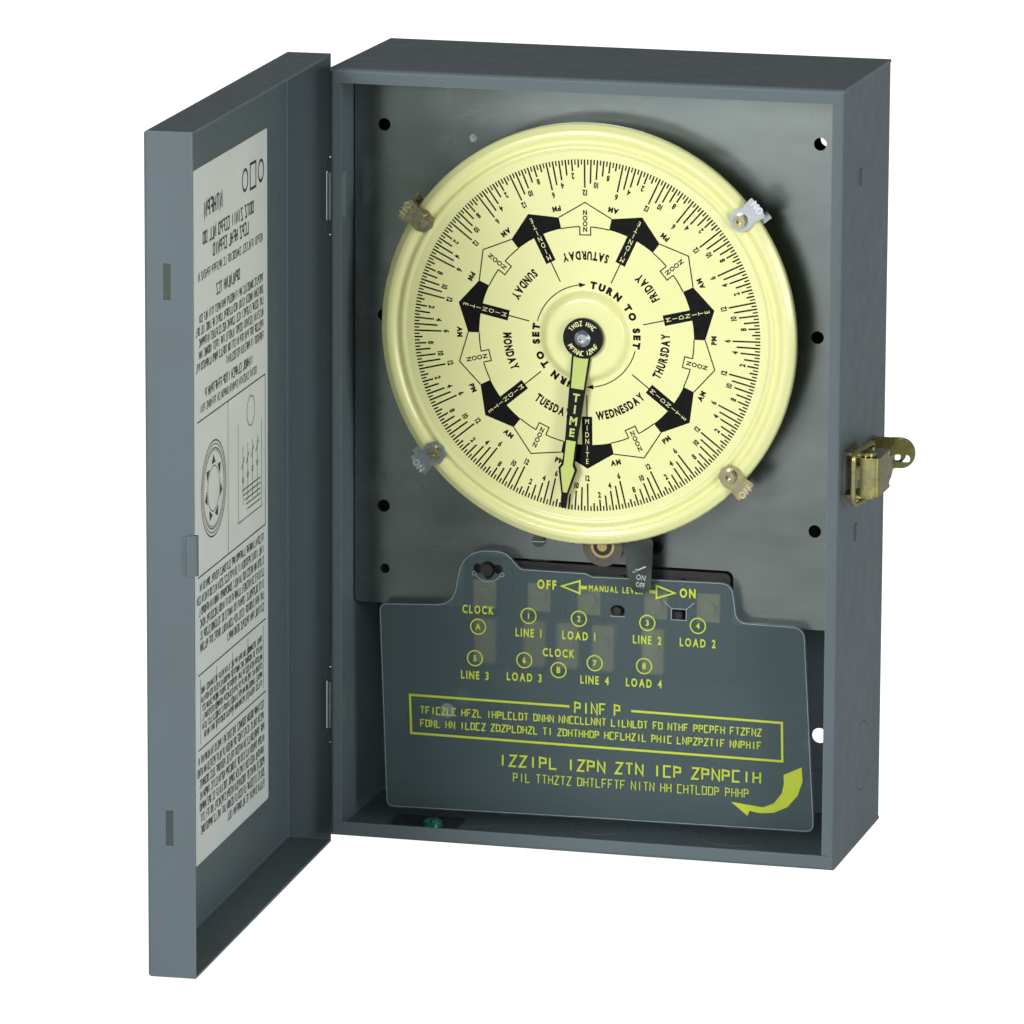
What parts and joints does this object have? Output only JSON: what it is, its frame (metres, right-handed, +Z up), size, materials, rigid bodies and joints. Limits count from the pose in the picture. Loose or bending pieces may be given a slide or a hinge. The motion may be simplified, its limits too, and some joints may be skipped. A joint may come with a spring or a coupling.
{
  "type": "seven-day dial time switch",
  "caption": "Wall-mounted dial time switch: steel case with swinging door and draw latch, geared day dial with trippers, cam-driven contacts and insulating sheet.",
  "frame": {"origin": "centre of the case's back wall, on its outer face", "axes": "+X to the right seen from the front, +Y into the wall, +Z up"},
  "size_m": [0.25, 0.2989, 0.3268],
  "materials": {
    "black_plastic": "black phenolic, satin",
    "brass": "bare brass, slightly dulled",
    "bright_steel": "bright plated steel",
    "carriage_plastic": "brown-red phenolic",
    "dial_paint": "pale yellow-green satin enamel with black print",
    "gloss_black": "gloss black",
    "gold_plate": "yellow chromate plate",
    "green_screw": "green-dyed zinc",
    "grey_enamel": "semi-gloss grey enamel with a slight orange peel",
    "label_paper": "matt white printed paper",
    "plated_steel": "zinc-plated sheet with a faint grain",
    "pointer_paint": "yellow enamel with black blocks",
    "smoke_plastic": "smoke-brown moulded plastic",
    "smoky_sheet": "smoky translucent sheet with yellow-green print",
    "yellow_zinc": "yellow chromate over zinc, uneven tint"
  },
  "bodies": {
    "case": {"case_wrap": "grey_enamel", "case_top_cap": "grey_enamel", "case_bottom_cap": "grey_enamel", "case_hinge_upper": "plated_steel", "case_hinge_lower": "plated_steel", "latch_base": "yellow_zinc", "latch_rivets": "yellow_zinc", "latch_lever_pin": "yellow_zinc", "mechanism_plate": "plated_steel", "plate_screws": "bright_steel", "dial_arbor": "bright_steel", "time_pointer": "pointer_paint", "hub_disc": "gloss_black", "hub_screw": "bright_steel", "gear_bushing": "brass", "motor_housing": "plated_steel", "motor_gearcase": "brass", "motor_bracket": "plated_steel", "motor_posts": "bright_steel", "cam_bushing": "brass", "carriage_rails": "plated_steel", "terminal_block": "black_plastic", "terminal_plates": "brass", "terminal_screws": "brass", "fixed_contacts": "brass", "detent_spring": "bright_steel", "insulator_posts": "black_plastic", "ground_plate": "plated_steel", "ground_screw": "green_screw"},
    "door": {"door_panel": "grey_enamel", "hinge_pin_upper": "bright_steel", "hinge_pin_lower": "bright_steel", "door_keeper": "grey_enamel", "door_label": "label_paper"},
    "lever": {"latch_lever": "yellow_zinc"},
    "bail": {"latch_bail": "yellow_zinc"},
    "dial": {"dial_hub": "brass", "dial_plate": "dial_paint", "dial_gear": "brass"},
    "drive": {"drive_pinion": "brass", "gear_shaft": "bright_steel", "day_gear": "brass"},
    "motor_rotor": {"motor_pinion": "brass"},
    "tripper_upper_left": {"tripper_1_off_plate": "gold_plate", "tripper_1_off_screw": "gold_plate"},
    "tripper_upper_right": {"tripper_2_on_plate": "bright_steel", "tripper_2_on_screw": "bright_steel"},
    "tripper_lower_right": {"tripper_3_off_plate": "gold_plate", "tripper_3_off_screw": "gold_plate"},
    "tripper_lower_left": {"tripper_4_on_plate": "bright_steel", "tripper_4_on_screw": "gold_plate"},
    "switch": {"manual_lever": "bright_steel", "trip_cam": "smoke_plastic", "cam_clip": "black_plastic", "cam_shaft": "brass", "cam_crank": "black_plastic"},
    "carriage": {"contact_carriage": "carriage_plastic", "moving_contacts": "brass"},
    "insulator": {"insulator_sheet": "smoky_sheet"}
  },
  "joints": [
    {"name": "door_swing", "type": "hinge", "parent": "case", "child": "door", "pos_m": [-0.1073, -0.0823, 0], "axis": [0, 0, -1], "range_deg": [-87.5, 92.5]},
    {"name": "latch_lever_turn", "type": "hinge", "parent": "case", "child": "lever", "pos_m": [0.1143, -0.0752, 0], "axis": [0, 0, -1], "range_deg": [-8.5, 150]},
    {"name": "latch_bail_turn", "type": "hinge", "parent": "lever", "child": "bail", "pos_m": [0.1135, -0.0625, 0], "axis": [0, 0, -1], "range_deg": [-151, 9.5]},
    {"name": "dial_turn", "type": "hinge", "parent": "case", "child": "dial", "pos_m": [-0.0009, -0.08, 0.0532], "axis": [0, 1, 0], "continuous": true},
    {"name": "drive_shaft_turn", "type": "hinge", "parent": "case", "child": "drive", "pos_m": [-0.0009, -0.06, 0.1092], "axis": [0, 1, 0], "continuous": true},
    {"name": "motor_turn", "type": "hinge", "parent": "case", "child": "motor_rotor", "pos_m": [-0.0324, -0.053, 0.1092], "axis": [0, 1, 0], "continuous": true},
    {"name": "tripper_upper_left_set", "type": "hinge", "parent": "dial", "child": "tripper_upper_left", "pos_m": [-0.0009, -0.08, 0.0532], "axis": [0, 1, 0], "range_deg": [-30, 30]},
    {"name": "tripper_upper_right_set", "type": "hinge", "parent": "dial", "child": "tripper_upper_right", "pos_m": [-0.0009, -0.08, 0.0532], "axis": [0, 1, 0], "range_deg": [-30, 30]},
    {"name": "tripper_lower_right_set", "type": "hinge", "parent": "dial", "child": "tripper_lower_right", "pos_m": [-0.0009, -0.08, 0.0532], "axis": [0, 1, 0], "range_deg": [-30, 30]},
    {"name": "tripper_lower_left_set", "type": "hinge", "parent": "dial", "child": "tripper_lower_left", "pos_m": [-0.0009, -0.08, 0.0532], "axis": [0, 1, 0], "range_deg": [-30, 30]},
    {"name": "manual_lever_turn", "type": "hinge", "parent": "case", "child": "switch", "pos_m": [0.0046, -0.07, -0.0344], "axis": [0, 1, 0], "range_deg": [0, 45]},
    {"name": "carriage_slide", "type": "slide", "parent": "case", "child": "carriage", "axis": [1, 0, 0], "range_m": [0, 0.0042]},
    {"name": "insulator_lift", "type": "hinge", "parent": "case", "child": "insulator", "pos_m": [0, -0.0655, -0.0482], "axis": [-1, 0, 0], "range_deg": [0, 12]}
  ],
  "couplings": [
    {"joint": "latch_bail_turn", "follows": "latch_lever_turn", "ratio": -1},
    {"joint": "drive_shaft_turn", "follows": "dial_turn", "ratio": -7},
    {"joint": "motor_turn", "follows": "dial_turn", "ratio": 42},
    {"joint": "carriage_slide", "follows": "manual_lever_turn", "m_per_rad": 0.00526}
  ]
}
